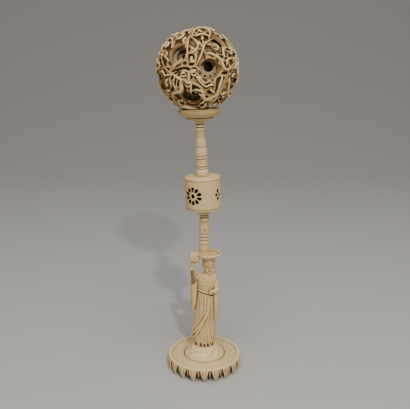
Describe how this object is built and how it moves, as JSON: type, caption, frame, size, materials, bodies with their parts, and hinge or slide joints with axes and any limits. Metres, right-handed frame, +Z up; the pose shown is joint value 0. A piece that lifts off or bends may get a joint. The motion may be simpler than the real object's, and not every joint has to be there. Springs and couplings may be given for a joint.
{
  "type": "puzzle ball on stand",
  "caption": "Openwork puzzle ball of loose nested shells in a cup, on a turned stem with a pierced drum, carried by a robed figure on a round leaf-edged base.",
  "frame": {"origin": "on the floor, under the middle of the whole object's length and width; the axis of the base is 2.5 mm from it towards +X, because the upper part leans towards -X", "axes": "+Z up; the figure faces -Y; +X to the right of someone who faces the figure"},
  "size_m": [0.0802, 0.0752, 0.3276],
  "materials": {
    "carved_ivory": "carved ivory, cream, stained amber and dark brown in the cuts",
    "turned_ivory": "turned and polished ivory, cream with dark lines in the grooves",
    "inner_ivory": "plain ivory, paler and duller than the outside"
  },
  "bodies": {
    "root": {"ball_outer_shell": "carved_ivory", "ball_second_shell": "inner_ivory", "ball_third_shell": "inner_ivory", "cup": "turned_ivory", "upper_stem": "turned_ivory", "drum_lid": "turned_ivory", "drum_wall": "turned_ivory", "drum_floor": "turned_ivory", "lower_stem": "turned_ivory", "figure": "carved_ivory", "base": "carved_ivory"}
  },
  "joints": []
}
